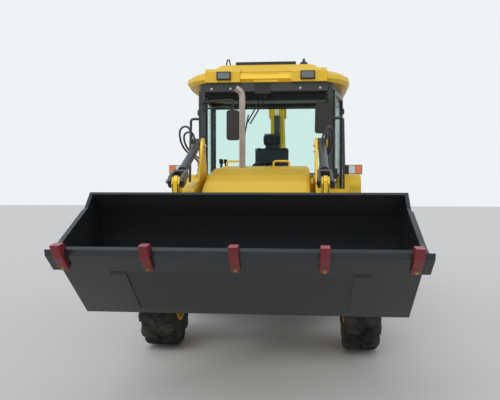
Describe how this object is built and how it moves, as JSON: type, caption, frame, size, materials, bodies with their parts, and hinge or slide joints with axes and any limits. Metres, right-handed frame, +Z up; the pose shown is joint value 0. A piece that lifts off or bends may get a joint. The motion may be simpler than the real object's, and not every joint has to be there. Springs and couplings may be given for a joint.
{
  "type": "backhoe loader",
  "caption": "Wheeled backhoe loader with a wide toothed front bucket on twin arms, a glazed cab, and a folded digging arm with its own bucket at the rear.",
  "frame": {"origin": "centre of the footprint's bounding box, on the floor under the tyres", "axes": "+Z up, -Y ahead towards the loader bucket, +X to the machine's left"},
  "size_m": [2.28, 7.3213, 3.0982],
  "materials": {
    "yellow_paint": "satin",
    "black_paint": "satin",
    "bucket_paint": "gloss",
    "red_steel": "satin",
    "tyre": "matte",
    "chrome": "polished",
    "glass": "clear",
    "seat_fabric": "matte",
    "black_plastic": "matte",
    "grey_iron": "rough",
    "steel": "brushed",
    "rubber": "matte",
    "white_lens": "gloss"
  },
  "bodies": {
    "chassis": {"main_frame": "yellow_paint", "tie_down_lugs": "yellow_paint", "front_axle": "grey_iron", "rear_axle": "grey_iron", "powertrain": "grey_iron", "nose": "yellow_paint", "cab_floor": "yellow_paint", "cab_frame": "yellow_paint", "cab_roof": "yellow_paint", "cab_glass": "glass", "fenders": "yellow_paint", "cab_controls": "black_plastic", "seat_cushion": "seat_fabric", "side_tanks": "black_paint", "lamps": "white_lens", "mirrors": "black_plastic", "handrails": "black_plastic", "rear_frame": "yellow_paint"},
    "knuckle_left": {"knuckle_left": "grey_iron"},
    "knuckle_right": {"knuckle_right": "grey_iron"},
    "loader_arms": {"loader_arms": "yellow_paint", "tilt_hoses": "rubber"},
    "loader_bucket": {"loader_bucket": "bucket_paint", "bucket_teeth": "red_steel"},
    "bell_cranks": {"bell_cranks": "yellow_paint"},
    "bucket_links": {"bucket_links": "black_paint"},
    "lift_barrels": {"lift_barrels": "black_paint"},
    "lift_rods": {"lift_rods": "chrome"},
    "tilt_barrels": {"tilt_barrels": "black_paint"},
    "tilt_rods": {"tilt_rods": "chrome", "tilt_forks": "black_paint"},
    "door_left": {"door_left": "yellow_paint", "door_glass_left": "glass"},
    "door_right": {"door_right": "yellow_paint", "door_glass_right": "glass"},
    "hood": {"hood": "yellow_paint", "exhaust_stack": "steel"},
    "stabilizer_left": {"stabilizer_left": "black_paint"},
    "stabilizer_right": {"stabilizer_right": "black_paint"},
    "swing_post": {"swing_post": "yellow_paint"},
    "boom": {"boom": "yellow_paint"},
    "dipper": {"dipper": "yellow_paint"},
    "hoe_bucket": {"hoe_bucket": "black_paint"},
    "hoe_rocker": {"hoe_rocker": "yellow_paint"},
    "hoe_link": {"hoe_link": "yellow_paint"},
    "boom_barrel": {"boom_barrel": "black_paint"},
    "boom_rod": {"boom_rod": "chrome"},
    "dipper_barrel": {"dipper_barrel": "black_paint"},
    "dipper_rod": {"dipper_rod": "chrome"},
    "bucket_barrel": {"bucket_barrel": "black_paint"},
    "bucket_rod": {"bucket_rod": "chrome"},
    "wheel_front_left": {"rim_front_left": "yellow_paint", "tyre_front_left": "tyre"},
    "wheel_front_right": {"rim_front_right": "yellow_paint", "tyre_front_right": "tyre"},
    "wheel_rear_left": {"rim_rear_left": "yellow_paint", "tyre_rear_left": "tyre"},
    "wheel_rear_right": {"rim_rear_right": "yellow_paint", "tyre_rear_right": "tyre"}
  },
  "joints": [
    {"name": "steering", "type": "hinge", "parent": "chassis", "child": "knuckle_left", "pos_m": [0.7, -1.28, 0.485], "axis": [0, 0, 1], "range_deg": [-34, 34]},
    {"name": "steering_right", "type": "hinge", "parent": "chassis", "child": "knuckle_right", "pos_m": [-0.7, -1.28, 0.485], "axis": [0, 0, 1], "range_deg": [-34.4, 34.4]},
    {"name": "front_left_spin", "type": "hinge", "parent": "knuckle_left", "child": "wheel_front_left", "pos_m": [0.93, -1.28, 0.485], "axis": [1, 0, 0], "continuous": true},
    {"name": "front_right_spin", "type": "hinge", "parent": "knuckle_right", "child": "wheel_front_right", "pos_m": [-0.93, -1.28, 0.485], "axis": [1, 0, 0], "continuous": true},
    {"name": "rear_left_spin", "type": "hinge", "parent": "chassis", "child": "wheel_rear_left", "pos_m": [0.86, 0.92, 0.7], "axis": [1, 0, 0], "continuous": true},
    {"name": "rear_right_spin", "type": "hinge", "parent": "chassis", "child": "wheel_rear_right", "pos_m": [-0.86, 0.92, 0.7], "axis": [1, 0, 0], "continuous": true},
    {"name": "loader_lift", "type": "hinge", "parent": "chassis", "child": "loader_arms", "pos_m": [0, -0.86, 1.53], "axis": [-1, 0, 0], "range_deg": [-21.5, 62]},
    {"name": "loader_tilt", "type": "hinge", "parent": "loader_arms", "child": "loader_bucket", "pos_m": [0, -2.49, 0.83], "axis": [-1, 0, 0], "range_deg": [-110, 4]},
    {"name": "lift_barrel_swing", "type": "hinge", "parent": "chassis", "child": "lift_barrels", "pos_m": [0, -0.66, 0.85], "axis": [-1, 0, 0], "range_deg": [-8.93, 25.13]},
    {"name": "lift_rod_slide", "type": "slide", "parent": "lift_barrels", "child": "lift_rods", "axis": [0, -0.8107, 0.5855], "range_m": [-0.1343, 0.37782]},
    {"name": "crank_swing", "type": "hinge", "parent": "loader_arms", "child": "bell_cranks", "pos_m": [0, -2.32, 1.08], "axis": [-1, 0, 0], "range_deg": [-62.38, 2.88]},
    {"name": "link_swing", "type": "hinge", "parent": "bell_cranks", "child": "bucket_links", "pos_m": [0, -2.53, 1.58], "axis": [-1, 0, 0], "range_deg": [-1.97, 42.58]},
    {"name": "tilt_barrel_swing", "type": "hinge", "parent": "loader_arms", "child": "tilt_barrels", "pos_m": [0, -1.61, 1.915], "axis": [-1, 0, 0], "range_deg": [-11.02, 0.51]},
    {"name": "tilt_rod_slide", "type": "slide", "parent": "tilt_barrels", "child": "tilt_rods", "axis": [0, -0.9396, -0.3422], "range_m": [-0.02406, 0.52017]},
    {"name": "door_left_hinge", "type": "hinge", "parent": "chassis", "child": "door_left", "pos_m": [0.86369, 0.19431, 1.118], "axis": [0, 0, 1], "range_deg": [0, 80]},
    {"name": "door_right_hinge", "type": "hinge", "parent": "chassis", "child": "door_right", "pos_m": [-0.86369, 0.19431, 1.118], "axis": [0, 0, -1], "range_deg": [0, 80]},
    {"name": "hood_hinge", "type": "hinge", "parent": "chassis", "child": "hood", "pos_m": [0, -0.68, 1.738], "axis": [-1, 0, 0], "range_deg": [0, 28]},
    {"name": "stabilizer_left_slide", "type": "slide", "parent": "chassis", "child": "stabilizer_left", "axis": [0, 0, -1], "range_m": [0, 0.42]},
    {"name": "stabilizer_right_slide", "type": "slide", "parent": "chassis", "child": "stabilizer_right", "axis": [0, 0, -1], "range_m": [0, 0.42]},
    {"name": "hoe_swing", "type": "hinge", "parent": "chassis", "child": "swing_post", "pos_m": [0, 2.22, 0.755], "axis": [0, 0, 1], "range_deg": [-80, 80]},
    {"name": "hoe_boom", "type": "hinge", "parent": "swing_post", "child": "boom", "pos_m": [0, 2.44, 0.95], "axis": [1, 0, 0], "range_deg": [-110, 0]},
    {"name": "hoe_dipper", "type": "hinge", "parent": "boom", "child": "dipper", "pos_m": [0, 2.20845, 2.83584], "axis": [-1, 0, 0], "range_deg": [-112, 4]},
    {"name": "hoe_bucket_curl", "type": "hinge", "parent": "dipper", "child": "hoe_bucket", "pos_m": [0, 3.25044, 1.75683], "axis": [-1, 0, 0], "range_deg": [-115, 35]},
    {"name": "boom_barrel_swing", "type": "hinge", "parent": "swing_post", "child": "boom_barrel", "pos_m": [0, 2.57, 0.7], "axis": [-1, 0, 0], "range_deg": [0, 99.73]},
    {"name": "boom_rod_slide", "type": "slide", "parent": "boom_barrel", "child": "boom_rod", "axis": [0, -0.0314, 0.9995], "range_m": [-0.42045, 0]},
    {"name": "dipper_barrel_swing", "type": "hinge", "parent": "boom", "child": "dipper_barrel", "pos_m": [0, 2.09742, 1.9759], "axis": [-1, 0, 0], "range_deg": [-7.21, 0.33]},
    {"name": "dipper_rod_slide", "type": "slide", "parent": "dipper_barrel", "child": "dipper_rod", "axis": [0, -0.0295, 0.9996], "range_m": [-0.4283, 0.01953]},
    {"name": "rocker_swing", "type": "hinge", "parent": "dipper", "child": "hoe_rocker", "pos_m": [0, 3.08372, 1.92947], "axis": [-1, 0, 0], "range_deg": [-68.01, 21.31]},
    {"name": "hoe_link_swing", "type": "hinge", "parent": "hoe_rocker", "child": "hoe_link", "pos_m": [0, 3.4241, 2.04667], "axis": [-1, 0, 0], "range_deg": [-14.03, 44.79]},
    {"name": "bucket_barrel_swing", "type": "hinge", "parent": "dipper", "child": "bucket_barrel", "pos_m": [0, 2.45652, 2.86687], "axis": [-1, 0, 0], "range_deg": [-2.95, 0.92]},
    {"name": "bucket_rod_slide", "type": "slide", "parent": "bucket_barrel", "child": "bucket_rod", "axis": [0, 0.7628, -0.6466], "range_m": [-0.38938, 0.12199]}
  ],
  "couplings": [
    {"joint": "steering_right", "follows": "steering", "ratio": 1},
    {"joint": "lift_barrel_swing", "follows": "loader_lift", "ratio": 0.39988},
    {"joint": "lift_rod_slide", "follows": "loader_lift", "m_per_rad": 0.34451},
    {"joint": "crank_swing", "follows": "loader_tilt", "ratio": 0.56124},
    {"joint": "link_swing", "follows": "loader_tilt", "ratio": -0.38314},
    {"joint": "tilt_barrel_swing", "follows": "loader_tilt", "ratio": 0.09916},
    {"joint": "tilt_rod_slide", "follows": "loader_tilt", "m_per_rad": -0.26816},
    {"joint": "boom_barrel_swing", "follows": "hoe_boom", "ratio": -0.89763},
    {"joint": "boom_rod_slide", "follows": "hoe_boom", "m_per_rad": 0.21683},
    {"joint": "dipper_barrel_swing", "follows": "hoe_dipper", "ratio": 0.063688},
    {"joint": "dipper_rod_slide", "follows": "hoe_dipper", "m_per_rad": 0.21686},
    {"joint": "rocker_swing", "follows": "hoe_bucket_curl", "ratio": 0.58379},
    {"joint": "hoe_link_swing", "follows": "hoe_bucket_curl", "ratio": -0.38445},
    {"joint": "bucket_barrel_swing", "follows": "hoe_bucket_curl", "ratio": 0.025296},
    {"joint": "bucket_rod_slide", "follows": "hoe_bucket_curl", "m_per_rad": 0.1915}
  ]
}
